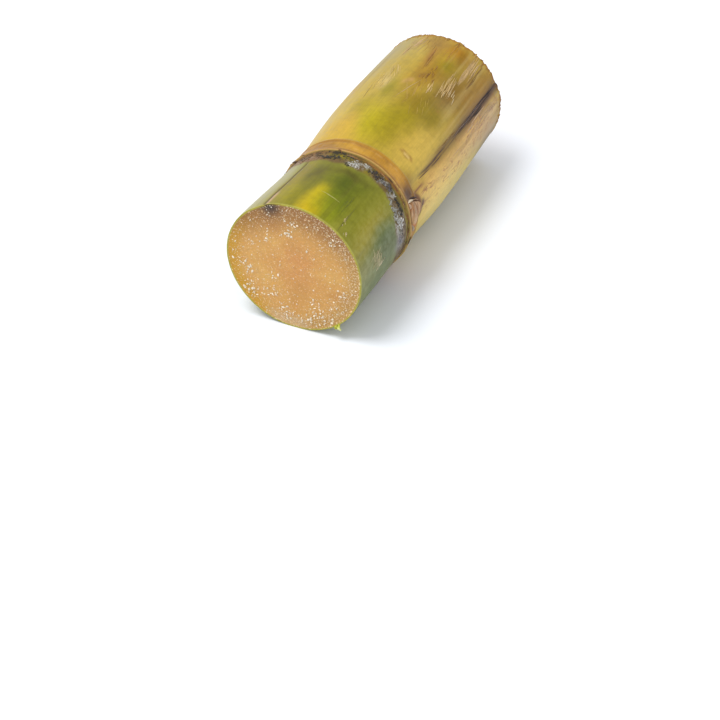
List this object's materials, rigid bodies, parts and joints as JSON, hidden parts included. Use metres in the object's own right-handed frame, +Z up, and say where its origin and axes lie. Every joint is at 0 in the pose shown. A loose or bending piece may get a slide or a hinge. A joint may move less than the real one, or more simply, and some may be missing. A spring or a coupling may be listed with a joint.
{
  "type": "sugarcane stalk",
  "caption": "Short length of fresh sugarcane stalk, cut square at both ends, with a ringed node and its bud, lying on its side.",
  "frame": {"origin": "on the resting surface, under the middle of the whole piece", "axes": "+Y along the cane from its lower, older cut end to its upper cut end, +Z up, the bud on the +X side"},
  "size_m": [0.0466, 0.1084, 0.0448],
  "materials": {
    "rind": "waxy satin skin, green below the node and yellow-olive above it",
    "bud_scales": "dry papery scales, matt"
  },
  "bodies": {
    "root": {"stalk": "rind", "bud": "bud_scales"}
  },
  "joints": []
}
